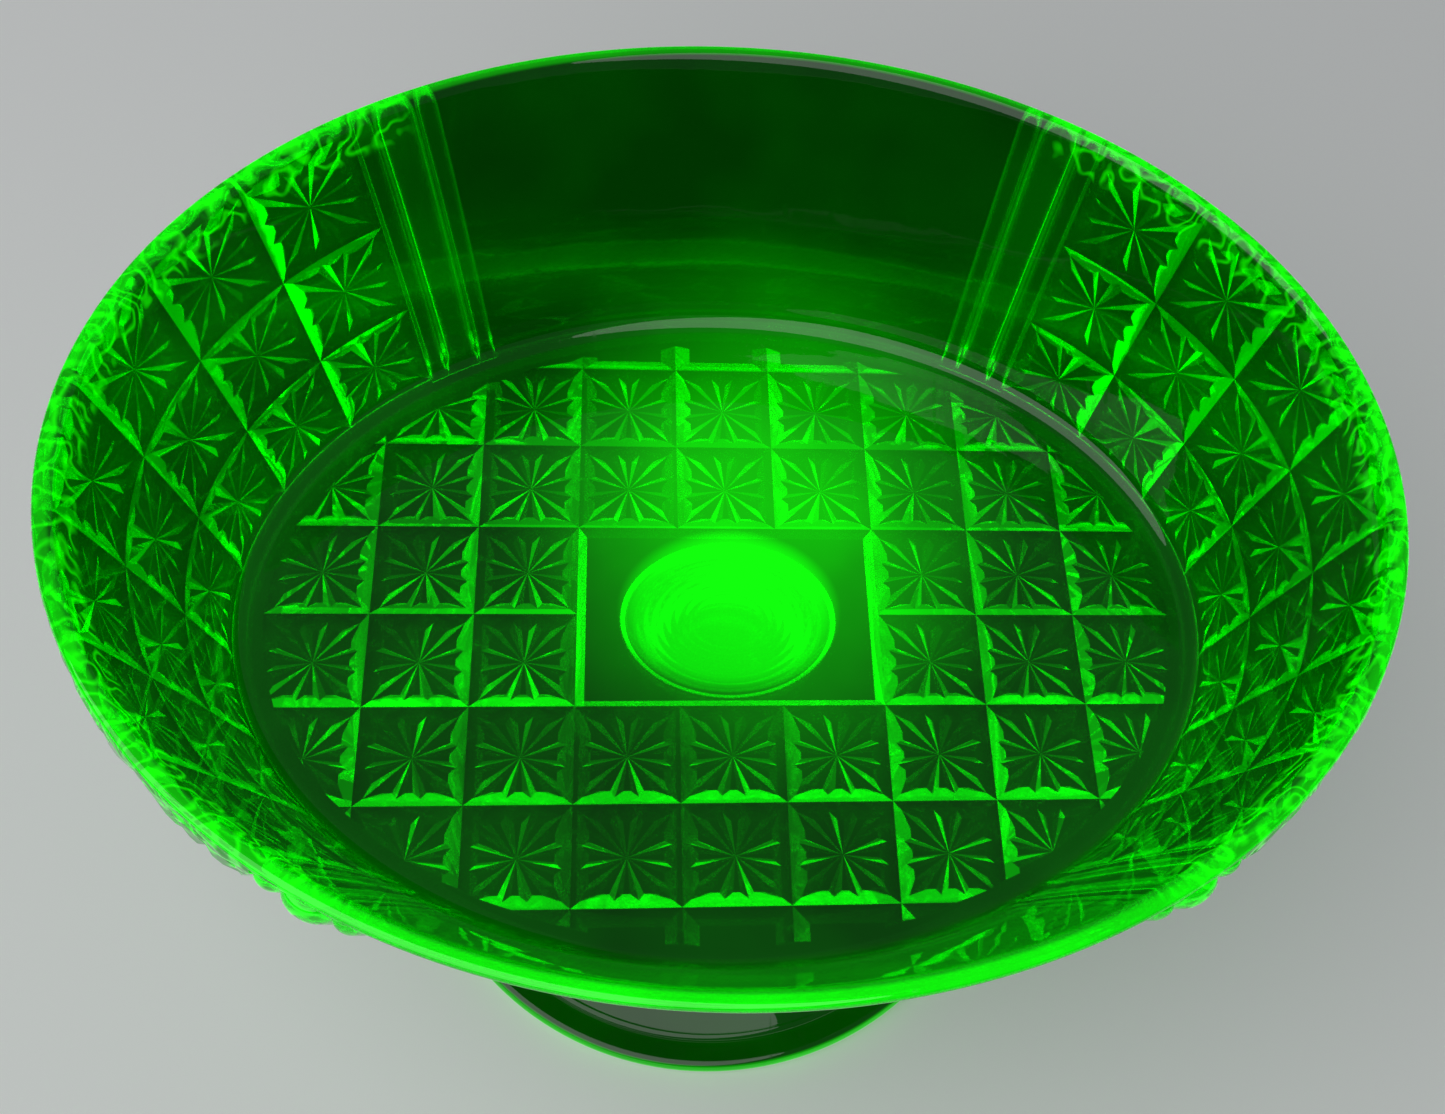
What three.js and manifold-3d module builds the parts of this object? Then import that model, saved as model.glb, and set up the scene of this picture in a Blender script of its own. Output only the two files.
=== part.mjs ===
// A footed oval dish of pressed uranium glass: an oval bowl with blocks pressed into its underside and its two
// ends, an oval wafer of glass, and a round hollow pedestal. The three were made apart and joined hot.
// Units are millimetres. +Z is up, X runs along the oval, and the foot stands on z = 0.
import * as THREE from "three";
import { ConvexGeometry } from "three/addons/geometries/ConvexGeometry.js";
import { mergeVertices } from "three/addons/utils/BufferGeometryUtils.js";
import Module from "manifold-3d";

const wasm = await Module();
wasm.setup();

// Overall sizes.
const RIM_LENGTH = 216;
const RIM_WIDTH = 180;
const FLOOR_LENGTH = 171; // the oval of blocks under the floor
const FLOOR_WIDTH = 127.5;
const BOWL_HEIGHT = 60; // underside of the floor to the rim
const FOOT_DIAMETER = 133;
const PEDESTAL_HEIGHT = 75.5;

// The bowl's floor and wall.
const FLOOR_THICKNESS = 5.5;
const WALL_FOOT_THICKNESS = 4; // measured level, where the wall meets the floor
const RIM_THICKNESS = 3.2;
const RIM_ROUND = 1.2;
const INNER_SET_OUT = 2.7; // level distance from the oval of blocks to the inside of the wall at the floor
const CORNER_ROUND = 4;

// The blocks under the floor, round a clear pane.
const CELL = 19; // pitch of the blocks
const PANE_COLUMNS = 3; // the pane's size in blocks
const PANE_ROWS = 2;
const PANE_BEVEL = 1.6;
const GROOVE_WIDTH = 5.9; // the V between two blocks
const GROOVE_DEPTH = 2;

// The two panels of blocks, one on each end of the wall.
const PANEL_HALF_ANGLE = THREE.MathUtils.degToRad(50.2);
const PANEL_COLUMNS = 7;
const PANEL_ROWS = 3;
const PANEL_RELIEF = 2.5;
const PANEL_LIFT = 2.2; // bottom of the blocks above the underside of the floor
const SHOULDER_DROP = 4.2; // top of the blocks below the rim
const SHOULDER_ROUND = 0.9; // how much of that drop the round shoulder over the blocks takes up

// The reeds beside each panel: a wide one between two thin ones.
const THIN_REED_WIDTH = 4;
const THIN_REED_RELIEF = 1.7;
const WIDE_REED_WIDTH = 7.6;
const WIDE_REED_RELIEF = 2.7;
const REED_DROP = 1.8; // top of the reeds below the rim

// The join and the pedestal.
const JOIN_LENGTH = 40;
const JOIN_WIDTH = 32.4;
const BOSS_HEIGHT = 2;
const WAFER_HEIGHT = 4;
const WAFER_ROUND = 1.4;
const STEM_SET_IN = 1.6; // edge of the stem's top inside the edge of the wafer
const WAIST_DIAMETER = 33;
const WAIST_DROP = 15; // waist below the top of the stem
const STEM_WALL = 4.3;
const OVAL_START_DROP = 35.5; // where the round bell starts to turn oval, below the top of the stem
const OVAL_END_DROP = 10.5;
const BELL_POWER = 3.8; // how sharply the bell flares out to the foot
const NECK_POWER = 2; // and the neck to the wafer
const HOLLOW_ROOF = 9; // glass between the hollow and the top of the stem
const HOLLOW_ROOF_ROUND = 4;
const HOLLOW_STRAIGHT_DROP = 27.5; // where the straight bore of the hollow ends, below the top of the stem
const HOLLOW_POWER = 3.4;
const FOOT_EDGE = 4;
const FOOT_RING_WIDTH = 5; // the flat ring that the dish stands on
const BRIM_WIDTH = 7;
const BRIM_STEP = 1.6;

// How finely round shapes are cut into flats.
const OVAL_SEGMENTS = 64;
const ROUND_SEGMENTS = 40;
const QUARTER_STEPS = 3;
const REED_STEPS = 5;
const FLARE_STEPS = 14;
const NECK_STEPS = 4;

// How deep one solid runs into the next where they join, and how far a cutter stands clear of what it cuts.
const OVERLAP = 1;
const CUT_LIFT = 0.6;

const FOOT_Z = 0;
const WAFER_Z = FOOT_Z + PEDESTAL_HEIGHT;
const BOSS_Z = WAFER_Z + WAFER_HEIGHT;
const UNDERSIDE_Z = BOSS_Z + BOSS_HEIGHT;
const FLOOR_Z = UNDERSIDE_Z + FLOOR_THICKNESS;
const RIM_Z = UNDERSIDE_Z + BOWL_HEIGHT;
const PANEL_Z = UNDERSIDE_Z + PANEL_LIFT;
const PANEL_HEIGHT = BOWL_HEIGHT - PANEL_LIFT - SHOULDER_DROP;
const SHOULDER_HEIGHT = PANEL_HEIGHT + SHOULDER_ROUND * SHOULDER_DROP; // above the bottom of the blocks
const WAIST_Z = WAFER_Z - WAIST_DROP;

const { lerp } = THREE.MathUtils;
const between = (count) => Array.from({ length: count + 1 }, (_, i) => i / count);

// A closed geometry as a manifold-3d solid, with its shared vertices merged and its empty triangles dropped.
function solidOf(geometry) {
  const bare = new THREE.BufferGeometry();
  bare.setAttribute("position", geometry.getAttribute("position").clone());
  if (geometry.index) bare.setIndex(geometry.index.clone());
  const merged = mergeVertices(bare, 1e-3);
  const triangles = [];
  for (let i = 0; i < merged.index.count; i += 3) {
    const [a, b, c] = [0, 1, 2].map((corner) => merged.index.getX(i + corner));
    if (a !== b && b !== c && c !== a) triangles.push(a, b, c);
  }
  return new wasm.Manifold(
    new wasm.Mesh({
      numProp: 3,
      vertProperties: new Float32Array(merged.getAttribute("position").array),
      triVerts: new Uint32Array(triangles),
    }),
  );
}

function geometryOf(solid) {
  const mesh = solid.getMesh();
  const geometry = new THREE.BufferGeometry();
  geometry.setAttribute("position", new THREE.BufferAttribute(mesh.vertProperties, 3));
  geometry.setIndex(new THREE.BufferAttribute(mesh.triVerts, 1));
  geometry.computeVertexNormals();
  return geometry;
}

const hull = (points) => solidOf(new ConvexGeometry(points));
const unionOf = (solids) => solids.reduce((whole, next) => whole.add(next));

// A profile of [radius, z] points turned about Z, each ring then laid out by place(radius, angle, z).
function turned(profile, segments, place) {
  const points = profile.map(([radius, z]) => new THREE.Vector2(radius, z));
  const geometry = new THREE.LatheGeometry(points, segments).rotateX(Math.PI / 2);
  const position = geometry.getAttribute("position");
  for (let i = 0; i < position.count; i++) {
    const [x, y] = [position.getX(i), position.getY(i)];
    const point = place(Math.hypot(x, y), Math.atan2(y, x), position.getZ(i));
    position.setXYZ(i, point.x, point.y, point.z);
  }
  return solidOf(geometry);
}

// [radius, z] points of a quarter of an oval, from one point to another, which bulges towards a corner.
function quarter([startX, startZ], [endX, endZ], [cornerX, cornerZ]) {
  return between(QUARTER_STEPS).map((share) => {
    const turn = (share * Math.PI) / 2;
    const [fromStart, fromEnd] = [1 - Math.sin(turn), 1 - Math.cos(turn)];
    return [
      cornerX + (startX - cornerX) * fromStart + (endX - cornerX) * fromEnd,
      cornerZ + (startZ - cornerZ) * fromStart + (endZ - cornerZ) * fromEnd,
    ];
  });
}

// [radius, z] points of a curve that leaves its start along Z and flares out to its end by a power.
function flare([startX, startZ], [endX, endZ], power, steps) {
  return between(steps).map((share) => [lerp(startX, endX, share ** power), lerp(startZ, endZ, share)]);
}

// The bowl's oval. A radius inside the oval of blocks shrinks to the centre in proportion. Outside it, the two
// half axes grow by the same distance, and the two long sides lean out a little more as they rise.
function bowlPoint(radius, angle, z) {
  const [halfLength, halfWidth] = [FLOOR_LENGTH / 2, FLOOR_WIDTH / 2];
  const extraLean = (RIM_WIDTH - FLOOR_WIDTH - RIM_LENGTH + FLOOR_LENGTH) / 2;
  const rise = THREE.MathUtils.clamp((z - UNDERSIDE_Z) / BOWL_HEIGHT, 0, 1);
  const outside = halfWidth + radius - halfLength + extraLean * rise;
  const across = radius <= halfLength ? (radius * halfWidth) / halfLength : outside;
  return new THREE.Vector3(radius * Math.cos(angle), across * Math.sin(angle), z);
}

// Half lengths of the bowl's wall at a height: its inside, its plain outside, and the face of the blocks.
const INNER_FOOT = FLOOR_LENGTH / 2 + INNER_SET_OUT;
const INNER_RIM = RIM_LENGTH / 2 - RIM_THICKNESS;
const innerWall = (z) => lerp(INNER_FOOT, INNER_RIM, (z - FLOOR_Z) / (RIM_Z - FLOOR_Z));
const outerWall = (z) => lerp(INNER_FOOT + WALL_FOOT_THICKNESS, RIM_LENGTH / 2, (z - UNDERSIDE_Z) / BOWL_HEIGHT);
const blockWall = (z) => outerWall(z) + PANEL_RELIEF;

function plainBowl() {
  const cornerZ = UNDERSIDE_Z + CORNER_ROUND;
  const filletZ = FLOOR_Z + CORNER_ROUND;
  const roundZ = RIM_Z - RIM_ROUND;
  const [cornerX, filletX] = [outerWall(cornerZ), innerWall(filletZ)];
  const profile = [
    [0, UNDERSIDE_Z],
    [FLOOR_LENGTH / 2, UNDERSIDE_Z],
    ...quarter([cornerX - CORNER_ROUND, UNDERSIDE_Z], [cornerX, cornerZ], [cornerX, UNDERSIDE_Z]),
    ...quarter([outerWall(roundZ), roundZ], [RIM_LENGTH / 2 - RIM_ROUND, RIM_Z], [RIM_LENGTH / 2, RIM_Z]),
    ...quarter([INNER_RIM + RIM_ROUND, RIM_Z], [innerWall(roundZ), roundZ], [INNER_RIM, RIM_Z]),
    ...quarter([filletX, filletZ], [filletX - CORNER_ROUND, FLOOR_Z], [INNER_FOOT, FLOOR_Z]),
    [0, FLOOR_Z],
  ];
  return turned(profile, OVAL_SEGMENTS, bowlPoint);
}

// The raised skin, all round the wall, that the two panels are cut from. A round shoulder rolls over its top row
// of blocks in place of the groove that the other rows have there.
function raisedRing() {
  const [rootZ, shoulderZ] = [PANEL_Z - OVERLAP, PANEL_Z + PANEL_HEIGHT - GROOVE_WIDTH / 2];
  const crownZ = PANEL_Z + SHOULDER_HEIGHT;
  const shoulder = [blockWall(shoulderZ), shoulderZ];
  const profile = [
    [outerWall(rootZ) - OVERLAP, rootZ],
    [outerWall(rootZ), rootZ],
    [blockWall(PANEL_Z), PANEL_Z],
    ...quarter(shoulder, [outerWall(crownZ) - OVERLAP, crownZ], [blockWall(crownZ), crownZ]),
  ];
  return turned([...profile, profile[0]], OVAL_SEGMENTS, bowlPoint);
}

// Everything between the two edges of one end's panel. Side is 1 at +X and -1 at -X.
function endWedge(side) {
  const corners = [PANEL_Z - 2 * OVERLAP, RIM_Z].flatMap((z) => [
    bowlPoint(RIM_LENGTH, 0, z),
    ...[-PANEL_HALF_ANGLE, PANEL_HALF_ANGLE].flatMap((angle) => [
      bowlPoint(FLOOR_LENGTH / 2, angle, z),
      bowlPoint(RIM_LENGTH, angle, z),
    ]),
  ]);
  return hull(corners.map((corner) => new THREE.Vector3(side * corner.x, corner.y, corner.z)));
}

// The arc that a panel's columns are spaced along, halfway up the blocks, from its middle to a given angle.
function panelArc(angle) {
  const z = PANEL_Z + PANEL_HEIGHT / 2;
  return new THREE.EllipseCurve(0, 0, blockWall(z), bowlPoint(blockWall(z), Math.PI / 2, z).y, 0, angle);
}

const PANEL_HALF_WIDTH = panelArc(PANEL_HALF_ANGLE).getLength();

// A place on one end of the wall: millimetres round from the middle of the panel, up from the bottom of the
// blocks, and out from the blocks' face.
function wallPlace(side) {
  const quarterArc = panelArc(Math.PI / 2);
  const quarterLength = quarterArc.getLength();
  return (across, up, out) => {
    const onArc = quarterArc.getPointAt(Math.abs(across) / quarterLength);
    const angle = Math.sign(across) * Math.atan2(onArc.y / quarterArc.yRadius, onArc.x / quarterArc.xRadius);
    const z = PANEL_Z + up;
    const point = bowlPoint(blockWall(z), angle, z);
    const round = bowlPoint(blockWall(z), angle + 0.01, z).sub(point);
    const rise = bowlPoint(blockWall(z + 1), angle, z + 1).sub(point);
    point.addScaledVector(round.cross(rise).normalize(), out);
    return new THREE.Vector3(side * point.x, point.y, point.z);
  };
}

// A place under the floor: millimetres along X, along Y, and down from the underside.
const floorPlace = (x, y, out) => new THREE.Vector3(x, y, UNDERSIDE_Z - out);

// The mouth of a groove, taken out to where its cutter stands clear of the face.
const clearMouth = (width, depth) => (width / 2) * (1 + CUT_LIFT / depth);

// A straight V groove laid out by place(across, up, out), from one [across, up] point to another.
function grooveCutter(place, from, to) {
  const mouth = clearMouth(GROOVE_WIDTH, GROOVE_DEPTH);
  const way = new THREE.Vector2(to[0] - from[0], to[1] - from[1]).setLength(mouth);
  const corners = [from, to].flatMap(([across, up]) => [
    place(across, up, -GROOVE_DEPTH),
    place(across - way.y, up + way.x, CUT_LIFT),
    place(across + way.y, up - way.x, CUT_LIFT),
  ]);
  return hull(corners);
}

// The upright grooves of one panel, with one at each of its edges. They notch the shoulder.
function columnCutters(side) {
  const lines = between(PANEL_COLUMNS).map((share) => (2 * share - 1) * PANEL_HALF_WIDTH);
  return lines.map((across) => grooveCutter(wallPlace(side), [across, -OVERLAP], [across, SHOULDER_HEIGHT]));
}

// The V rings between the rows of blocks, which the two panels share.
function rowCutters() {
  const mouth = clearMouth(GROOVE_WIDTH, GROOVE_DEPTH);
  return between(PANEL_ROWS).slice(1, -1).map((share) => {
    const z = PANEL_Z + share * PANEL_HEIGHT;
    const face = blockWall(z);
    const section = [[face - GROOVE_DEPTH, z], [face + CUT_LIFT, z - mouth], [face + CUT_LIFT, z + mouth]];
    return turned([...section, section[0]], OVAL_SEGMENTS, bowlPoint);
  });
}

function endPanels() {
  const ring = raisedRing().subtract(unionOf(rowCutters()));
  return [1, -1].map((side) => ring.intersect(endWedge(side)).subtract(unionOf(columnCutters(side))));
}

// One upright reed: a bar of half-round section on the plain wall.
function reed(place, across, width, relief) {
  const section = between(REED_STEPS).map((share) => [
    -Math.cos(share * Math.PI) * (width / 2),
    Math.sin(share * Math.PI) * relief - PANEL_RELIEF,
  ]);
  const back = [-width / 2, width / 2].map((sideways) => [sideways, -PANEL_RELIEF - OVERLAP]);
  const top = BOWL_HEIGHT - REED_DROP - PANEL_LIFT;
  const corners = [0, top].flatMap((up) =>
    [...section, ...back].map(([sideways, out]) => place(across + sideways, up, out)),
  );
  return hull(corners);
}

// The three reeds beside each edge of both panels.
function reeds() {
  const thin = [THIN_REED_WIDTH, THIN_REED_RELIEF];
  const bars = [];
  for (const [side, way] of [[1, 1], [1, -1], [-1, 1], [-1, -1]]) {
    let edge = PANEL_HALF_WIDTH;
    for (const [width, relief] of [thin, [WIDE_REED_WIDTH, WIDE_REED_RELIEF], thin]) {
      bars.push(reed(wallPlace(side), way * (edge + width / 2), width, relief));
      edge += width;
    }
  }
  return bars;
}

// Grooves under the floor that run along one axis at each block's edge. Those that would cross the pane stop
// at its border. The reach is half the oval's size along the groove, and the span is half its size across.
function gridCutters(place, reach, span, paneReach, paneSpan, firstLine) {
  const cutters = [];
  for (let line = firstLine; line < span; line += CELL) {
    const starts = line < paneSpan ? paneReach : 0;
    for (const [across, way] of [[line, 1], [line, -1], [-line, 1], [-line, -1]]) {
      cutters.push(grooveCutter(place, [across, way * starts], [across, way * (reach + OVERLAP)]));
    }
  }
  return cutters;
}

// The space under the floor that holds the grid of grooves.
function floorOval() {
  const edge = FLOOR_LENGTH / 2;
  const profile = [[0, UNDERSIDE_Z - OVERLAP], [edge, UNDERSIDE_Z - OVERLAP], [edge, FLOOR_Z], [0, FLOOR_Z]];
  return turned(profile, OVAL_SEGMENTS, bowlPoint);
}

function floorCutters() {
  const [halfLength, halfWidth] = [FLOOR_LENGTH / 2, FLOOR_WIDTH / 2];
  const [paneX, paneY] = [(PANE_COLUMNS / 2) * CELL, (PANE_ROWS / 2) * CELL];
  const firstLine = (count) => (count % 2 ? CELL / 2 : 0);
  const alongY = gridCutters(floorPlace, halfWidth, halfLength, paneY, paneX, firstLine(PANE_COLUMNS));
  const turnedPlace = (across, up, out) => floorPlace(up, across, out);
  const alongX = gridCutters(turnedPlace, halfLength, halfWidth, paneX, paneY, firstLine(PANE_ROWS));
  return unionOf([...alongY, ...alongX]).intersect(floorOval());
}

// The clear pane: a plain rectangle with a bevelled edge, which stands in the grooves round it.
function pane() {
  const [x, y] = [(PANE_COLUMNS / 2) * CELL, (PANE_ROWS / 2) * CELL];
  const corners = [[PANE_BEVEL, 0], [0, -GROOVE_DEPTH], [0, -GROOVE_DEPTH - OVERLAP]].flatMap(([inset, out]) =>
    [[1, 1], [1, -1], [-1, 1], [-1, -1]].map(([i, j]) => floorPlace(i * (x - inset), j * (y - inset), out)),
  );
  return hull(corners);
}

// The oval of the join: its width keeps the same share of its length.
const joinPoint = (radius, angle, z) =>
  new THREE.Vector3(radius * Math.cos(angle), ((radius * JOIN_WIDTH) / JOIN_LENGTH) * Math.sin(angle), z);

// The low boss under the pane, pressed with the bowl, that the wafer holds.
function boss() {
  const [edge, topZ] = [JOIN_LENGTH / 2, UNDERSIDE_Z + OVERLAP];
  return turned([[0, BOSS_Z], [edge, BOSS_Z], [edge + BOSS_HEIGHT, topZ], [0, topZ]], ROUND_SEGMENTS, joinPoint);
}

function bowl() {
  const pressed = plainBowl().subtract(floorCutters());
  return unionOf([pressed, pane(), boss(), ...endPanels(), ...reeds()]);
}

function joinWafer() {
  const edge = JOIN_LENGTH / 2;
  const profile = [
    [0, WAFER_Z],
    ...quarter([edge - WAFER_ROUND, WAFER_Z], [edge, WAFER_Z + WAFER_ROUND], [edge, WAFER_Z]),
    ...quarter([edge, BOSS_Z - WAFER_ROUND], [edge - WAFER_ROUND, BOSS_Z], [edge, BOSS_Z]),
    [0, BOSS_Z],
  ];
  return turned(profile, ROUND_SEGMENTS, joinPoint);
}

// The pedestal's foot and bell are round, and turn into the oval of the join on their way up to the waist.
function pedestalPoint(radius, angle, z) {
  const point = joinPoint(radius, angle, z);
  const turn = THREE.MathUtils.smoothstep(z, WAFER_Z - OVAL_START_DROP, WAFER_Z - OVAL_END_DROP);
  point.y = lerp(radius * Math.sin(angle), point.y, turn);
  return point;
}

function pedestal() {
  const [edge, waist] = [FOOT_DIAMETER / 2, WAIST_DIAMETER / 2];
  const [brimX, bellZ, roofZ] = [edge - BRIM_WIDTH, FOOT_EDGE + BRIM_STEP, WAFER_Z - HOLLOW_ROOF];
  const [hollowX, ringX] = [waist - STEM_WALL, edge - FOOT_RING_WIDTH - FOOT_EDGE / 2];
  const [roofEdge, roofFoot] = [[hollowX - HOLLOW_ROOF_ROUND, roofZ], [hollowX, roofZ - HOLLOW_ROOF_ROUND]];
  const profile = [
    [0, roofZ],
    ...quarter(roofEdge, roofFoot, [hollowX, roofZ]),
    ...flare([hollowX, WAFER_Z - HOLLOW_STRAIGHT_DROP], [ringX, FOOT_Z], HOLLOW_POWER, FLARE_STEPS),
    ...quarter([edge - FOOT_EDGE / 2, FOOT_Z], [edge, FOOT_EDGE / 2], [edge, FOOT_Z]),
    ...quarter([edge, FOOT_EDGE / 2], [edge - FOOT_EDGE / 2, FOOT_EDGE], [edge, FOOT_EDGE]).slice(1),
    [brimX + BRIM_STEP, FOOT_EDGE],
    ...flare([waist, WAIST_Z], [brimX, bellZ], BELL_POWER, FLARE_STEPS).reverse(),
    ...flare([waist, WAIST_Z], [JOIN_LENGTH / 2 - STEM_SET_IN, WAFER_Z], NECK_POWER, NECK_STEPS).slice(1),
    [0, WAFER_Z],
  ];
  return turned(profile, ROUND_SEGMENTS, pedestalPoint);
}

const URANIUM_GLASS = { color: 0x2fd21f, roughness: 0.05, metalness: 0 };

function piece(name, solid) {
  const mesh = new THREE.Mesh(geometryOf(solid), new THREE.MeshStandardMaterial(URANIUM_GLASS));
  mesh.name = name;
  return mesh;
}

const dish = new THREE.Group();
dish.add(piece("bowl", bowl()));
dish.add(piece("join_wafer", joinWafer()));
dish.add(piece("pedestal", pedestal()));

export default dish;
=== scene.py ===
# A footed oval dish of pressed uranium glass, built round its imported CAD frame. Lengths are in metres.
import bpy
import numpy as np
from mathutils import Matrix, Vector


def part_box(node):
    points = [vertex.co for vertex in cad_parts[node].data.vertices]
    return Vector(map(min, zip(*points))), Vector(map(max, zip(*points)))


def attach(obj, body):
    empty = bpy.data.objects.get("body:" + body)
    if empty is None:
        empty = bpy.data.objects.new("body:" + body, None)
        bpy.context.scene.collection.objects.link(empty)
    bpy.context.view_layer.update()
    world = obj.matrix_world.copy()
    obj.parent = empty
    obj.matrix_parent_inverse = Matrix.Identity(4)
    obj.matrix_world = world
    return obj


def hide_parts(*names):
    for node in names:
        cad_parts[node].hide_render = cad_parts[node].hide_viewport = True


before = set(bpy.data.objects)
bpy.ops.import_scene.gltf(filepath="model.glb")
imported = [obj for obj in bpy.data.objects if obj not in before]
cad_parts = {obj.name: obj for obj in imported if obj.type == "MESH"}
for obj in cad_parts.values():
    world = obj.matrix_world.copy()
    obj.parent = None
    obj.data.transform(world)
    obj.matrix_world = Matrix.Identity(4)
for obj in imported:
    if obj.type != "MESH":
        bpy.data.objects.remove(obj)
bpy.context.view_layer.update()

# --- Studio ---------------------------------------------------------------------------------------------------
# A plain pale floor under a large soft lamp and an even sky. The camera looks down into the bowl from its front,
# a little from the left, as one does over a table.
def put(name, data):
    """A new object with the given data, linked to the scene."""
    thing = bpy.data.objects.new(name, data)
    bpy.context.scene.collection.objects.link(thing)
    return thing


def new_material(name):
    """A new material with its nodes and its links."""
    material = bpy.data.materials.new(name)
    material.use_nodes = True
    return material, material.node_tree.nodes, material.node_tree.links


mesh = bpy.data.meshes.new("studio_floor")
floor_reach = 3.0
floor_gap = 0.00005  # keeps the floor clear of the flat ring that the dish stands on
square = np.array([(-1, -1), (1, -1), (1, 1), (-1, 1)])
mesh.from_pydata([(x, y, -floor_gap) for x, y in square * floor_reach], [], [(0, 1, 2, 3)])
floor = put("studio_floor", mesh)
paint, paint_nodes, _ = new_material("pale_floor")
paint_nodes["Principled BSDF"].inputs["Base Color"].default_value = (0.90, 0.91, 0.90, 1)
paint_nodes["Principled BSDF"].inputs["Roughness"].default_value = 0.8
floor.data.materials.append(paint)

world = bpy.data.worlds.new("studio_sky")
world.use_nodes = True
sky = world.node_tree.nodes["Background"].inputs
sky["Color"].default_value = (0.85, 0.93, 1, 1)
sky["Strength"].default_value = 0.10
bpy.context.scene.world = world

lamp = bpy.data.lights.new("soft_lamp", "AREA")
lamp.shape, lamp.size, lamp.energy = "DISK", 3.4, 40
lamp_object = put("soft_lamp", lamp)
lamp_object.location = (-0.9, -0.9, 1.6)
lamp_object.rotation_euler = (Vector((0, 0, 0)) - lamp_object.location).to_track_quat("-Z", "Y").to_euler()

azimuth, elevation, roll = np.radians((-12.22, 60.30, 10.84))
target, distance = Vector((0.0140, 0.0053, 0.083)), 0.3049
back = Vector((np.sin(azimuth) * np.cos(elevation), -np.cos(azimuth) * np.cos(elevation), np.sin(elevation)))
right = Vector((0, 0, 1)).cross(back).normalized()
up = back.cross(right)
across, top = right * np.cos(roll) + up * np.sin(roll), up * np.cos(roll) - right * np.sin(roll)
lens = bpy.data.cameras.new("camera")
lens.sensor_width, lens.lens = 36, 39.4
lens.shift_x, lens.shift_y = -0.0538, 0.0263
camera = put("camera", lens)
camera.matrix_world = Matrix((across, top, back)).transposed().to_4x4()
camera.location = target + back * distance
bpy.context.scene.camera = camera
bpy.context.scene.view_settings.view_transform = "Standard"


# --- Bowl: the plain oval body ----------------------------------------------------------------------------------
# One heavy pressing with a flat floor and a leaning wall, smooth inside, where the plunger was, and fire-polished
# to a round at the rim. Everything that stands on it or is cut into it below was in the same mould.
rim_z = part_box("bowl")[1][2]
wafer_low, wafer_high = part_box("join_wafer")
boss_height, floor_thickness = 0.002, 0.0055
underside = wafer_high[2] + boss_height
floor_top = underside + floor_thickness
rim_half = np.array((0.108, 0.090))
floor_half = np.array((0.0855, 0.06375))  # the oval of blocks under the floor
set_out = 0.0027  # from that oval to the inside of the wall at the floor
rim_thickness, wall_foot_thickness = 0.0032, 0.004
inner_foot, inner_rim = floor_half[0] + set_out, rim_half[0] - rim_thickness
outer_foot = inner_foot + wall_foot_thickness
wall_sag = 0.0006
rim_round = 0.0015
corner_round = 0.004
wall_steps, floor_steps, bowl_around = 24, 12, 256


def oval(radius, angle, z):
    """Points of an oval as an (..., 3) array. A radius inside the oval of blocks shrinks to the centre in
    proportion. Outside it both half axes grow alike, and the long sides lean out more as they rise."""
    rise = np.clip((z - underside) / (rim_z - underside), 0, 1)
    extra = (rim_half[1] - floor_half[1] - rim_half[0] + floor_half[0]) * rise
    outside = floor_half[1] + radius - floor_half[0] + extra
    width = np.where(radius <= floor_half[0], radius * floor_half[1] / floor_half[0], outside)
    return np.stack(np.broadcast_arrays(radius * np.cos(angle), width * np.sin(angle), z), -1)


def wall(foot, rim, z):
    """Half length of a wall that leans from foot to rim, with a slight hollow halfway up."""
    rise = (z - underside) / (rim_z - underside)
    return foot + (rim - foot) * rise - 4 * wall_sag * rise * (1 - rise)


def arc(start, end, corner, steps=10):
    """A quarter of an oval from start to end, bulging to corner: corner + (start - corner)(1 - sin t)
    + (end - corner)(1 - cos t), for t from 0 to a right angle."""
    t = np.linspace(0, np.pi / 2, steps)[:, None]
    start, end, corner = map(np.array, (start, end, corner))
    return corner + (start - corner) * (1 - np.sin(t)) + (end - corner) * (1 - np.cos(t))


def straight(start, end, steps):
    """Evenly spaced points between start and end, without either."""
    return np.linspace(start, end, steps + 2)[1:-1]


def turned_solid(name, profile, place, around):
    """A closed solid: each (radius, z) of the profile becomes a ring laid out by place, and the first and last,
    on the axis, become single points."""
    angle = np.arange(around) * 2 * np.pi / around
    rings = place(profile[1:-1, None, 0], angle[None], profile[1:-1, None, 1])
    count = len(rings)
    poles = np.array([[0, 0, profile[0, 1]], [0, 0, profile[-1, 1]]])
    points = np.concatenate([rings.reshape(-1, 3), poles])
    here = np.arange(count * around).reshape(count, around)
    there = np.roll(here, -1, 1)
    quads = np.stack([here[:-1], there[:-1], there[1:], here[1:]], -1).reshape(-1, 4)
    first = np.stack([np.full(around, count * around), there[0], here[0]], -1)
    last = np.stack([np.full(around, count * around + 1), here[-1], there[-1]], -1)
    return solid(name, points, [*quads.tolist(), *first.tolist(), *last.tolist()])


def solid(name, points, faces):
    """An object made of the given points and faces."""
    mesh = bpy.data.meshes.new(name)
    mesh.from_pydata(points.tolist(), [], faces)
    mesh.validate()
    return put(name, mesh)


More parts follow.
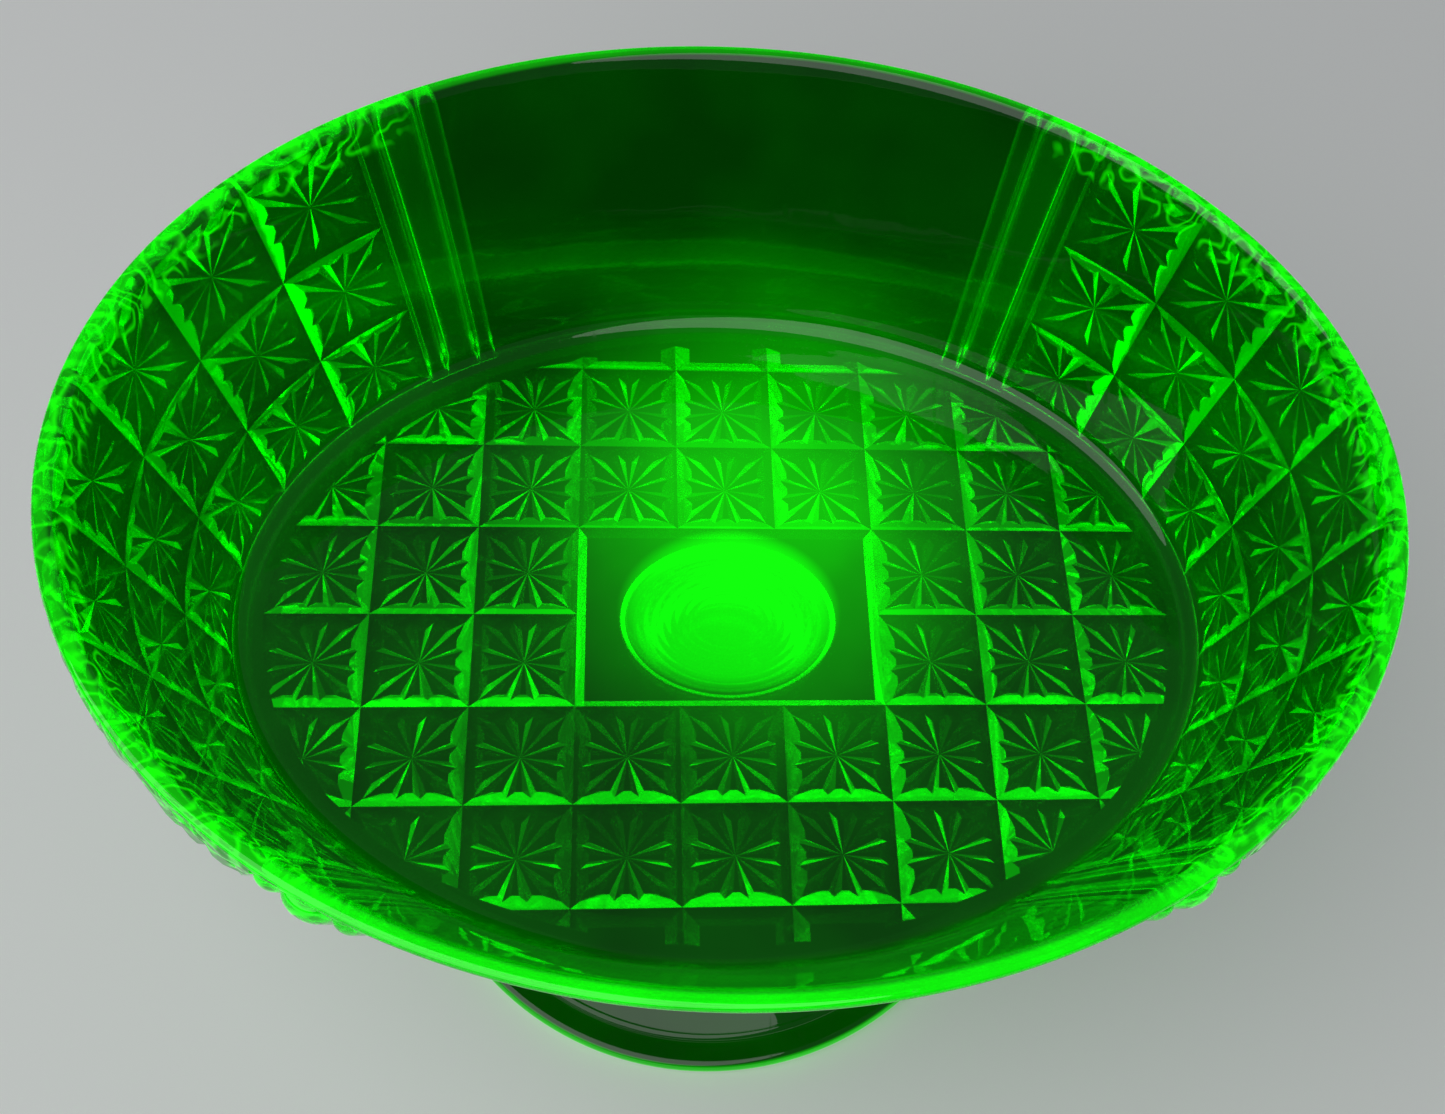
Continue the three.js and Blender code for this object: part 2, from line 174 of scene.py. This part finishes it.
corner_z, fillet_z = underside + corner_round, floor_top + corner_round
corner_x, fillet_x = wall(outer_foot, rim_half[0], corner_z), wall(inner_foot, inner_rim, fillet_z)
round_z = rim_z - rim_round
outer_z, inner_z = straight(corner_z, round_z, wall_steps), straight(round_z, fillet_z, wall_steps)
bowl_profile = np.concatenate([
    [(0, underside)],
    [(r, underside) for r in straight(0, corner_x - corner_round, floor_steps)],
    arc((corner_x - corner_round, underside), (corner_x, corner_z), (corner_x, underside)),
    np.stack([wall(outer_foot, rim_half[0], outer_z), outer_z], 1),
    arc((wall(outer_foot, rim_half[0], round_z), round_z), (rim_half[0] - rim_round, rim_z), (rim_half[0], rim_z)),
    arc((inner_rim + rim_round, rim_z), (wall(inner_foot, inner_rim, round_z), round_z), (inner_rim, rim_z)),
    np.stack([wall(inner_foot, inner_rim, inner_z), inner_z], 1),
    arc((fillet_x, fillet_z), (fillet_x - corner_round, floor_top), (fillet_x, floor_top)),
    [(r, floor_top) for r in straight(fillet_x - corner_round, 0, floor_steps)],
    [(0, floor_top)],
])
bowl = turned_solid("bowl_glass_body", bowl_profile, oval, bowl_around)


def combine(whole, part, how):
    """Joins a closed solid to the whole, cuts it away, or keeps only what both share, and drops the part."""
    change = whole.modifiers.new(how, "BOOLEAN")
    change.operation, change.solver, change.object = how, "MANIFOLD", part
    shape = bpy.data.meshes.new_from_object(whole.evaluated_get(bpy.context.evaluated_depsgraph_get()))
    shape.materials.clear()
    whole.modifiers.clear()
    whole.data = shape
    bpy.data.objects.remove(part)


# --- Bowl: the block that the pattern repeats -------------------------------------------------------------------
# A square block stands between V grooves, and a star of twelve V cuts fans out over it from its middle. Each cut
# deepens outwards until it breaks into the groove, which gives the groove's edge its zigzag.
groove_depth = 0.0020
bevel = 0.31  # width of the groove's side as a share of the half block
ray_depth = 0.0011  # depth that a ray would have at the middle of the groove
ray_half_angle = np.radians(9.5)
rays = 12

ray = np.radians(360 / rays * (np.arange(rays) + 0.5))
turn = (ray[:, None] + np.array([-1, 0, 1]) * ray_half_angle).ravel()
is_valley = np.tile([False, True, False], rays)
to_edge = 1 / np.maximum(abs(np.cos(turn)), abs(np.sin(turn)))
tip = groove_depth * (1 - bevel) / (groove_depth - ray_depth * bevel)
spoke = np.stack([np.cos(turn), np.sin(turn)], 1) * to_edge[:, None]


def block_sheet(centres, half_size, starred, top_row=None, top_depth=groove_depth):
    """Flat facets of blocks at the given centres: (across, up) in metres and the depth under the block's face.
    Round each centre lie a ring on the block's edge, where rays reach out to the tip, and a ring on its border.
    A ray is ray_depth times its share of the way out deep, and the border lies in the groove."""
    starred = np.asarray(starred)[:, None]
    share = np.where(is_valley & starred, tip, 1 - bevel)
    depth = np.where(is_valley & starred, ray_depth * tip, 0.0)
    inner = centres[:, None] + spoke * share[..., None] * half_size
    outer = centres[:, None] + np.broadcast_to(spoke * half_size, inner.shape)
    places = np.concatenate([centres[:, None], inner, outer], 1)
    border = np.full(depth.shape, groove_depth)
    if top_row is not None:
        at_top = np.asarray(top_row)[:, None] & (spoke[:, 1] > 0.999)
        side = groove_depth * np.clip((abs(spoke[:, 0]) - 1 + bevel) / bevel, 0, 1)
        border = np.where(at_top, np.maximum(top_depth, side), border)
    depths = np.concatenate([np.zeros((len(centres), 1)), depth, border], 1)
    ring = len(turn)
    k, n = np.arange(ring), (np.arange(ring) + 1) % ring
    middle = np.stack([0 * k, 1 + k, 1 + n], 1)
    upper = np.stack([1 + k, 1 + ring + k, 1 + ring + n], 1)
    lower = np.stack([1 + k, 1 + ring + n, 1 + n], 1)
    fan = np.concatenate([middle, upper, lower])
    faces = (fan[None] + (1 + 2 * ring) * np.arange(len(centres))[:, None, None]).reshape(-1, 3)
    return places.reshape(-1, 2), depths.ravel(), faces


def welded(places, depths, faces):
    """The same facets with neighbours' shared border points made one."""
    _, first, again = np.unique(np.round(places * 1e7).astype(int), axis=0, return_index=True, return_inverse=True)
    return places[first], depths[first], again.ravel()[faces]


def slab(name, front, rear, faces):
    """A closed solid between a sheet of facets and its copy behind, joined round the sheet's edge."""
    edges = np.concatenate([faces[:, [0, 1]], faces[:, [1, 2]], faces[:, [2, 0]]])
    key = np.sort(edges, 1)
    _, first, times = np.unique(key, axis=0, return_index=True, return_counts=True)
    rim = edges[first[times == 1]]
    count = len(front)
    sides = np.stack([rim[:, 1], rim[:, 0], rim[:, 0] + count, rim[:, 1] + count], 1)
    points = np.concatenate([front, rear])
    return solid(name, points, [*faces.tolist(), *(faces[:, ::-1] + count).tolist(), *sides.tolist()])


# --- Bowl: blocks under the floor -------------------------------------------------------------------------------
# A square grid of blocks fills an oval in the underside. The grooves stop at the oval, so the blocks at its edge
# are part blocks, and only those with their middle inside it, or barely past it, carry a star.
cell = 0.019
pane_half = np.array((1.5, 1.0)) * cell  # the clear pane takes the place of three blocks by two
star_limit = 1.03  # on the squared distance of a block's middle, in half axes of the oval
columns, rows = np.arange(-5, 6), np.arange(-4, 4) + 0.5
grid = np.stack(np.meshgrid(columns, rows), -1).reshape(-1, 2) * cell
in_oval = ((grid / floor_half) ** 2).sum(1) < star_limit
in_pane = (abs(grid) < pane_half).all(1)
places, depths, faces = welded(*block_sheet(grid, np.array((cell, cell)) / 2, in_oval & ~in_pane))
overrun = 0.001  # how far a cutter or an added part runs past the surface that it meets
cut = np.column_stack([places, underside + depths])
level = np.column_stack([places, np.full(len(places), underside - overrun)])
grooves = slab("floor_grooves", cut, level, faces)
oval_low, oval_high, oval_half = underside - 2 * overrun, floor_top, floor_half[0]
oval_profile = np.array([(0, oval_low), (oval_half, oval_low), (oval_half, oval_high), (0, oval_high)])
combine(grooves, turned_solid("floor_oval", oval_profile, oval, bowl_around), "INTERSECT")
combine(bowl, grooves, "DIFFERENCE")


# --- Bowl: the clear pane and the boss --------------------------------------------------------------------------
# In the middle of the floor the mould left a plain rectangle with a narrow bevel, to look through. A low oval boss
# stands on it, where the pedestal was stuck on hot.
pane_bevel = 0.0016


def thick_grid(name, front, rear):
    """A closed solid between a front and a rear grid of points, (rows, columns, 3) arrays, joined round their edge.
    The front faces out where its columns run anticlockwise seen from outside and its rows run upwards."""
    height, width = front.shape[:2]
    here = np.arange(height * width).reshape(height, width)
    quads = np.stack([here[:-1, :-1], here[:-1, 1:], here[1:, 1:], here[1:, :-1]], -1).reshape(-1, 4)
    loop = np.concatenate([here[0, :-1], here[:-1, -1], here[-1, :0:-1], here[:0:-1, 0]])
    ahead, count = np.roll(loop, -1), height * width
    sides = np.stack([ahead, loop, loop + count, ahead + count], 1)
    points = np.concatenate([front.reshape(-1, 3), rear.reshape(-1, 3)])
    return solid(name, points, [*quads.tolist(), *(quads[:, ::-1] + count).tolist(), *sides.tolist()])


def swept_solid(name, rings):
    """A closed solid through rings of points, an (along, around, 3) array, with a point at the middle of each
    end ring to close it."""
    along, around = rings.shape[:2]
    points = np.concatenate([rings.reshape(-1, 3), rings[[0, -1]].mean(1)])
    here = np.arange(along * around).reshape(along, around)
    there = np.roll(here, -1, 1)
    quads = np.stack([here[:-1], there[:-1], there[1:], here[1:]], -1).reshape(-1, 4)
    first = np.stack([np.full(around, along * around), there[0], here[0]], -1)
    last = np.stack([np.full(around, along * around + 1), here[-1], there[-1]], -1)
    return solid(name, points, [*quads.tolist(), *first.tolist(), *last.tolist()])


def level_ring(half, z):
    """The corners of a level rectangle with the given half sizes, anticlockwise seen from above."""
    return np.column_stack([square * half, np.full(len(square), z)])


pane = swept_solid("pane", np.stack([
    level_ring(pane_half - pane_bevel, underside),
    level_ring(pane_half, underside + groove_depth),
    level_ring(pane_half, underside + groove_depth + overrun),
]))
combine(bowl, pane, "UNION")

join_half = (np.array(wafer_high) - np.array(wafer_low))[:2] / 2


def join_oval(radius, angle, z):
    """Points of the join's oval: its half width keeps the same share of its half length."""
    width = radius * join_half[1] / join_half[0]
    return np.stack(np.broadcast_arrays(radius * np.cos(angle), width * np.sin(angle), z), -1)


boss_round, join_around = 0.0009, 96
boss_x, boss_z = join_half[0], wafer_high[2]
boss_profile = np.concatenate([
    [(0, boss_z)],
    arc((boss_x - boss_round, boss_z), (boss_x, boss_z + boss_round), (boss_x, boss_z)),
    arc((boss_x, underside - boss_round), (boss_x + boss_round, underside), (boss_x, underside)),
    [(boss_x + boss_round, underside + overrun), (0, underside + overrun)],
])
combine(bowl, turned_solid("boss", boss_profile, join_oval, join_around), "UNION")


# --- Bowl: the two panels of blocks on its ends -----------------------------------------------------------------
# Each end of the wall carries rows of the same star blocks, raised on it as a skin. Above the top row the skin
# rounds over to the rim, and the upright grooves notch it.
panel_angle = np.radians(50.2)
panel_columns, panel_rows = 7, 3
relief, panel_lift, shoulder = 0.0025, 0.0022, 0.0042
panel_z = underside + panel_lift
panel_height = rim_z - shoulder - panel_z

fine = np.linspace(0, np.pi / 2, 400)
halfway = panel_z + panel_height / 2
arc_points = oval(wall(outer_foot, rim_half[0], halfway), fine, halfway)
arc_lengths = np.concatenate([[0], np.cumsum(np.linalg.norm(np.diff(arc_points, axis=0), axis=1))])
panel_half = np.interp(panel_angle, fine, arc_lengths)


def on_wall(end, across, up, out):
    """Points on one end of the wall: across from the middle of its panel, measured round the wall halfway up, up
    from the panel's foot, and out from the plain wall along its normal. End is 1 at +X and -1 at -X."""
    across, up, out = np.broadcast_arrays(across, up, out)
    angle = np.sign(across) * np.interp(abs(across), arc_lengths, fine)
    z = panel_z + up

    def place(a, h):
        """Points of the plain outer wall at angle a and height h."""
        return oval(wall(outer_foot, rim_half[0], h), a, h)

    step = 1e-4
    round_it = place(angle + step, z) - place(angle - step, z)
    up_it = place(angle, z + step) - place(angle, z - step)
    normal = np.cross(round_it, up_it)
    points = place(angle, z) + normal / np.linalg.norm(normal, axis=-1, keepdims=True) * out[..., None]
    return points * (end, end, 1)


half_block = np.array((panel_half / panel_columns, panel_height / panel_rows / 2))
columns, rows = np.arange(panel_columns) - panel_columns // 2, np.arange(panel_rows) + 0.5
grid = np.stack(np.meshgrid(columns, rows), -1).reshape(-1, 2) * 2 * half_block
is_top = grid[:, 1] > panel_height - 1.5 * half_block[1]
top_depth = 0.0012
places, depths, faces = welded(*block_sheet(grid, half_block, np.ones(len(grid), bool), is_top, top_depth))

block_steps, shoulder_steps = 24, 19
across_steps = np.linspace(-1, 1, panel_columns * block_steps + 1) * panel_half
beside = abs((across_steps / half_block[0] + 1) % 2 - 1)
notch = relief - groove_depth * np.clip((beside - 1 + bevel) / bevel, 0, 1)
share = np.linspace(0, 1, shoulder_steps)[:, None]
sunk, swell = 0.0003, 0.001  # how deep the shoulder's ends are sunk in the glass, and how far its middle bulges
wave_depth, wave_pitch, wave_drift = 0.00016, 2.2, 0.15
below_blocks, below_rim = 0.00002, 0.0008
rounding = (relief - top_depth) * (1 - share) - sunk * share + swell * share * (1 - share)
rings = wave_pitch * np.hypot(beside, 1.3 * share - 0.6)
waves = wave_depth * np.sin(2 * np.pi * (rings + wave_drift * across_steps / half_block[0]))
fade = (4 * share * (1 - share)) * (1 - beside ** 4)
shoulder_out = np.minimum(rounding + waves * fade, notch[None]) - below_blocks
shoulder_up = panel_height - sunk + (shoulder + sunk - below_rim) * share
for end in (1, -1):
    front = on_wall(end, places[:, 0], places[:, 1], relief - depths)
    rear = on_wall(end, places[:, 0], places[:, 1], np.full(len(places), -overrun))
    combine(bowl, slab("panel", front, rear, faces), "UNION")
    outer = on_wall(end, across_steps[None], shoulder_up, shoulder_out)
    inner = on_wall(end, across_steps[None], shoulder_up, np.full(shoulder_out.shape, -overrun))
    combine(bowl, thick_grid("shoulder", outer, inner), "UNION")


# --- Bowl: reeds beside the panels ------------------------------------------------------------------------------
# Three upright half-round reeds close each side of a panel, a wide one between two thin ones. They end in a round
# just under the rim and in a slanted cut at the foot.
thin, wide = (0.0040, 0.0017), (0.0076, 0.0027)
reed_drop, reed_tail, reed_sunk = 0.0012, 0.001, 0.0002
reed_top = rim_z - panel_z - reed_drop
foot_cut, head_round = 0.004, 0.0035
foot_up = np.linspace(-reed_tail, foot_cut, 5)
shaft_up = np.linspace(foot_cut, reed_top - head_round, 20)[1:-1]
head_up = reed_top - head_round * (1 - np.sin(np.linspace(0, np.pi / 2, 10)))
up_along = np.concatenate([foot_up, shaft_up, head_up])
grow = np.clip((up_along + reed_tail) / foot_cut, 0, 1)
close = np.sqrt(np.clip(1 - ((up_along - reed_top + head_round) / head_round).clip(0) ** 2, 0, 1))
size = (grow * close)[:, None]
bow = np.linspace(0, np.pi, 17)
for end, way in ((1, 1), (1, -1), (-1, 1), (-1, -1)):
    edge = panel_half
    for width, height in (thin, wide, thin):
        sideways = -np.cos(bow)[None] * width / 2 * (0.5 + 0.5 * close[:, None])
        reed_across = way * (edge + width / 2) + sideways
        reed_out = np.sin(bow)[None] * height * size - reed_sunk
        front = on_wall(end, reed_across, up_along[:, None], reed_out)
        rear = on_wall(end, reed_across, up_along[:, None], np.full(front.shape[:2], -overrun))
        combine(bowl, thick_grid("reed", front, rear), "UNION")
        edge += width


# --- Bowl: the glass ------------------------------------------------------------------------------------------------
# The glass absorbs all but green. Its green light in its depth, stronger at its rim and edges, is painted glow:
# emission that stands in for the fluorescence a UV torch lights in uranium glass.
# join_glow stands in for a torch held over the join. It belongs to that lamp and not to the glass.
def facet(piece, crease=20):
    """Smooth shading, with every edge that turns more than the crease left sharp."""
    piece.data.polygons.foreach_set("use_smooth", np.ones(len(piece.data.polygons), bool))
    piece.data.set_sharp_from_angle(angle=np.radians(crease))
    piece.data.update()


def uranium_glass(name, painted_depth_glow, clear, painted_glows, painted_line_zones=()):
    """Green glass with painted glow in its depth and at its surface: emission that stands in for the fluorescence a
    UV torch lights, not light from the scene's lamps. A zone is a centre, three half sizes and two scaled distances
    from the centre: it is 0 at the first distance and 1 at the second. The base colour is painted a lighter green in
    one zone, where the painted glow is brightest, and the surface has painted glow in other zones, each with a
    strength. Painted glowing lines of equal noise lie where all the zones in painted_line_zones overlap."""
    glass, nodes, links = new_material(name)
    glass.cycles.emission_sampling = "NONE"  # the glowing faces aren't sampled as lamps, to keep renders quick
    shader = nodes["Principled BSDF"]
    place = nodes.new("ShaderNodeTexCoord").outputs["Object"]

    def add(kind, *values, **settings):
        """A node with its settings, its inputs filled or linked in order, and its one live output."""
        node = nodes.new("ShaderNode" + kind)
        for key, value in settings.items():
            setattr(node, key, value)
        for socket, value in zip([i for i in node.inputs if i.enabled], values):
            if isinstance(value, bpy.types.NodeSocket):
                links.new(value, socket)
            else:
                socket.default_value = value
        return [o for o in node.outputs if o.enabled][0]

    def zone(centre, half, zero_at, one_at):
        """How far each place is inside a zone, from 0 to 1."""
        offset = add("VectorMath", place, centre, operation="SUBTRACT")
        scaled = add("VectorMath", offset, half, operation="DIVIDE")
        distance = add("VectorMath", scaled, operation="LENGTH")
        return add("MapRange", distance, zero_at, one_at, 0.0, 1.0, interpolation_type="SMOOTHSTEP")

    def noise(scale, detail, stretch=(1, 1, 1)):
        """Noise from about 0.3 to 0.7, with its features drawn out along the axes where stretch is small."""
        return add("TexNoise", add("VectorMath", place, stretch, operation="MULTIPLY"), scale, detail)

    def mix(share, low, high):
        """The low colour where share is 0, the high one where it is 1, and a blend between."""
        return add("MixRGB", share, low, high)

    # The third colour is a lighter green painted into the glass round the join, where the painted glow is brightest;
    # the first two are the glass's own uneven tint.
    darkest, dark, painted_lighter = (0.0006, 0.009, 0.0005, 1), (0.001, 0.019, 0.001, 1), (0.01, 0.60, 0.01, 1)
    cloud_scale, contour_scale, contour_count = 38, 125, 15.0
    cloud = add("MapRange", noise(cloud_scale, 2), 0.35, 0.65, 0.0, 1.0)
    links.new(mix(zone(*clear), mix(cloud, darkest, dark), painted_lighter), shader.inputs["Base Color"])

    # Painted glow on the surface: each zone adds its strength, and glowing lines of noise are painted where the line
    # zones overlap.
    strength = 0.0
    for area, power in painted_glows:
        strength = add("Math", zone(*area), power, strength, operation="MULTIPLY_ADD")
    if painted_line_zones:
        dim, lit = 0.03, 0.5  # strength of the painted glow between the lines and on them
        levels = add("Math", noise(contour_scale, 1.5), contour_count, operation="MULTIPLY")
        lines = add("Math", levels, 1.0, operation="PINGPONG")
        bright = add("MapRange", lines, 0.5, 0.95, dim, lit)
        for area in painted_line_zones:
            bright = add("Math", bright, zone(*area), operation="MULTIPLY")
        strength = add("Math", bright, strength, operation="ADD")
    uneven = add("Math", add("MapRange", cloud, 0.0, 1.0, 0.85, 1.1), strength, operation="MULTIPLY")
    links.new(add("Math", uneven, 0.0, operation="MAXIMUM"), shader.inputs["Emission Strength"])
    # The colour of the painted glow on the surface.
    shader.inputs["Emission Color"].default_value = (0.008, 1, 0.0, 1)

    smoothest, roughest, scratched = 0.008, 0.03, 0.14  # roughness; a scratch adds its own to the polish
    scratch = add("MapRange", noise(9, 1, (60, 4, 30)), 0.68, 0.73, 0.0, scratched)
    polish = add("MapRange", noise(260, 1), 0.3, 0.7, smoothest, roughest)
    links.new(add("Math", polish, scratch, operation="ADD"), shader.inputs["Roughness"])
    ripple = add("Math", noise(420, 0), 0.06, noise(34, 1, (1, 1, 3.2)), operation="MULTIPLY_ADD")
    bump = nodes.new("ShaderNodeBump")
    bump.inputs["Strength"].default_value = 0.25
    bump.inputs["Distance"].default_value = 0.00035
    links.new(ripple, bump.inputs["Height"])
    links.new(bump.outputs["Normal"], shader.inputs["Normal"])

    shader.inputs["Transmission Weight"].default_value = 1
    shader.inputs["IOR"].default_value = 1.52
    # In its depth the glass absorbs, and gives off painted glow: emission that stands in for the light a UV torch
    # would raise.
    absorb = nodes.new("ShaderNodeVolumeAbsorption")
    absorb.inputs["Color"].default_value = (0.0, 0.97, 0.0, 1)
    absorb.inputs["Density"].default_value = 120
    glow = nodes.new("ShaderNodeEmission")
    glow.inputs["Color"].default_value = (0.0, 1, 0.0, 1)
    glow.inputs["Strength"].default_value = painted_depth_glow
    both = nodes.new("ShaderNodeAddShader")
    links.new(absorb.outputs[0], both.inputs[0])
    links.new(glow.outputs[0], both.inputs[1])
    links.new(both.outputs[0], nodes["Material Output"].inputs["Volume"])
    return glass


# The zones below place painted light: glow at the join, at the rim and on the front wall, glowing contour lines on
# the shoulders, the glow taken off again over the boss, and a lighter green painted into the glass round the join,
# where the painted glow is brightest.
join_centre = (0, 0, underside)
far = 9.0  # a half size that leaves an axis out of a zone
join_glow = ((0.008, 0.026, underside), (0.056, 0.066, 0.05), 1.0, 0.0)
boss_glow_cut = (join_centre, (join_half[0] + 0.001, join_half[1] + 0.001, 0.0045), 1.0, 0.85)
rim_glow = ((0, 0, 0), (far, far, rim_z), 0.9965, 0.9995)
front_glow = ((0, -rim_half[1], rim_z - 0.02), (0.10, 0.03, 0.05), 1.0, 0.3)
shoulder_band = ((0, 0, 0), (far, far, rim_z), 0.951, 0.966)
panel_ends = ((0, 0, 0), (rim_half[0], far, far), 0.52, 0.58)
facet(bowl)
bowl.data.materials.append(uranium_glass(
    "bowl_glass", 84, (join_centre, (0.0240, 0.0200, 0.012), 1.0, 0.8),
    [(join_glow, 0.42), (boss_glow_cut, -0.42), (rim_glow, 0.26), (front_glow, 0.035)], [shoulder_band, panel_ends]))
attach(bowl, "root")
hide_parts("bowl")


# --- Join wafer ---------------------------------------------------------------------------------------------------
# A gather of hot glass pressed flat between the bowl's boss and the stem. It is an oval with a soft round edge, and
# its top face kept shallow rings from the tool that spread it.
seam = 0.00005  # keeps two pieces' faces from lying in one plane
wafer_round = 0.0014
wafer_x, bottom, top_z = join_half[0], wafer_low[2] + seam, wafer_high[2] - seam
ring_depth, ring_pitch, ring_end, ring_steps = 0.00014, 0.0017, 0.006, 81
ring = np.linspace(wafer_x - wafer_round, ring_end, ring_steps)
dip = 0.5 - 0.5 * np.cos(2 * np.pi * (ring[0] - ring) / ring_pitch)
wafer_profile = np.concatenate([
    [(0, bottom)],
    arc((wafer_x - wafer_round, bottom), (wafer_x, bottom + wafer_round), (wafer_x, bottom)),
    arc((wafer_x, top_z - wafer_round), (wafer_x - wafer_round, top_z), (wafer_x, top_z)),
    np.column_stack([ring, top_z - ring_depth * dip])[1:],
    [(0, top_z)],
])
wafer = turned_solid("join_wafer_glass", wafer_profile, join_oval, join_around)
facet(wafer, 35)
# The wafer's glass is painted a lighter green all over and has painted glow in its depth and on its surface.
everywhere = ((0, 0, 0), (far, far, far), 1.0, 0.5)
wafer.data.materials.append(uranium_glass("join_glass", 14, everywhere, [(everywhere, 0.02)]))
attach(wafer, "root")
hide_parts("join_wafer")


# --- Pedestal -----------------------------------------------------------------------------------------------------
# Stem and foot are one pressing, hollow from below. The round foot has a rounded edge and a low step inside it, the
# bell rises in an ogee to a waist, and the stem turns oval to meet the wafer.
foot_half, _, stem_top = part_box("pedestal")[1]
waist, waist_z = 0.0165, stem_top - 0.015
edge_round, brim_z, step_height, brim = 0.0020, 0.0042, 0.0016, 0.0055
bell_half, bell_z = foot_half - brim - step_height, brim_z + step_height
oval_start, oval_rise = 0.040, 0.025


def pedestal_point(radius, angle, z):
    """A round ring that turns into the join's oval between the bell and the waist."""
    turn = np.clip((z - oval_start) / oval_rise, 0, 1)
    turn = turn * turn * (3 - 2 * turn)
    width = 1 + (join_half[1] / join_half[0] - 1) * turn
    return np.stack(np.broadcast_arrays(radius * np.cos(angle), radius * width * np.sin(angle), z), -1)


bell_power, neck_power, hollow_power = 3.8, 2, 3.4  # how sharply each curve flares out
crowding, bore_crowding = 1.6, 0.7  # powers that set the points closer together towards the foot
fall = 1 - np.linspace(0, 1, 50) ** crowding
bell = np.column_stack([waist + (bell_half - waist) * fall ** bell_power, waist_z + (bell_z - waist_z) * fall])
stem_set_in, ripple_depth, ripple_pitch = 0.0016, 0.00012, 0.0021
neck_z = np.linspace(waist_z, stem_top - seam, 40)[1:]
neck = waist + (join_half[0] - stem_set_in - waist) * ((neck_z - waist_z) / (stem_top - waist_z)) ** neck_power
neck = neck + ripple_depth * np.sin(2 * np.pi * neck_z / ripple_pitch)
stand_set_in, roof_thickness, roof_round = 0.007, 0.009, 0.004
stand, hollow, hollow_z, roof_z = foot_half - stand_set_in, 0.0122, 0.048, stem_top - roof_thickness
drop = np.linspace(0, 1, 40)[1:] ** bore_crowding
bore = np.column_stack([hollow + (stand - hollow) * drop ** hollow_power, hollow_z * (1 - drop)])
pedestal_profile = np.concatenate([
    [(0, roof_z)],
    [(r, roof_z) for r in straight(0, hollow - roof_round, 3)],
    arc((hollow - roof_round, roof_z), (hollow, roof_z - roof_round), (hollow, roof_z)),
    bore,
    arc((foot_half - edge_round, 0), (foot_half, edge_round), (foot_half, 0)),
    arc((foot_half, edge_round), (foot_half - edge_round, 2 * edge_round), (foot_half, 2 * edge_round))[1:],
    [(r, 2 * edge_round) for r in straight(foot_half - edge_round, foot_half - brim, 1)],
    arc((foot_half - brim, brim_z), (bell_half, bell_z), (foot_half - brim, bell_z)),
    bell[1:],
    np.column_stack([neck, neck_z]),
    [(0, stem_top - seam)],
])
pedestal_around = 160
pedestal = turned_solid("pedestal_glass_body", pedestal_profile, pedestal_point, pedestal_around)

bubble_centre, bubble_radius = np.array((0.0050, -0.0058, stem_top - 0.0040)), 0.0008


def bubble_point(radius, angle, z):
    """A ring of a bubble that one seed of gas left in the stem."""
    return np.stack(np.broadcast_arrays(radius * np.cos(angle), radius * np.sin(angle), z), -1) + bubble_centre


slope = np.linspace(-np.pi / 2, np.pi / 2, 13)
bubble_profile = np.column_stack([bubble_radius * np.cos(slope), bubble_radius * np.sin(slope)])
bubble = turned_solid("bubble", bubble_profile, bubble_point, 24)
bubble.data.vertices[-2].co = bubble_centre - (0, 0, bubble_radius)
bubble.data.vertices[-1].co = bubble_centre + (0, 0, bubble_radius)
combine(pedestal, bubble, "DIFFERENCE")
facet(pedestal, 35)
# The pedestal's glass is painted a lighter green round the top of the stem, where the painted glow is brightest, and
# has painted glow on the bell and at the foot's edge.
stem_painted_lighter = ((0, 0, stem_top), (0.034, 0.034, 0.030), 1.0, 0.45)
painted_foot_edge_glow = ((0, 0, 0), (foot_half, foot_half, far), 0.985, 0.995)
foot_glow = ((0, 0, 0), (far, far, 0.060), 1.0, 0.3)
pedestal.data.materials.append(uranium_glass(
    "pedestal_glass", 12, stem_painted_lighter, [(foot_glow, 0.035), (painted_foot_edge_glow, 0.4)]))
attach(pedestal, "root")
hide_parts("pedestal")
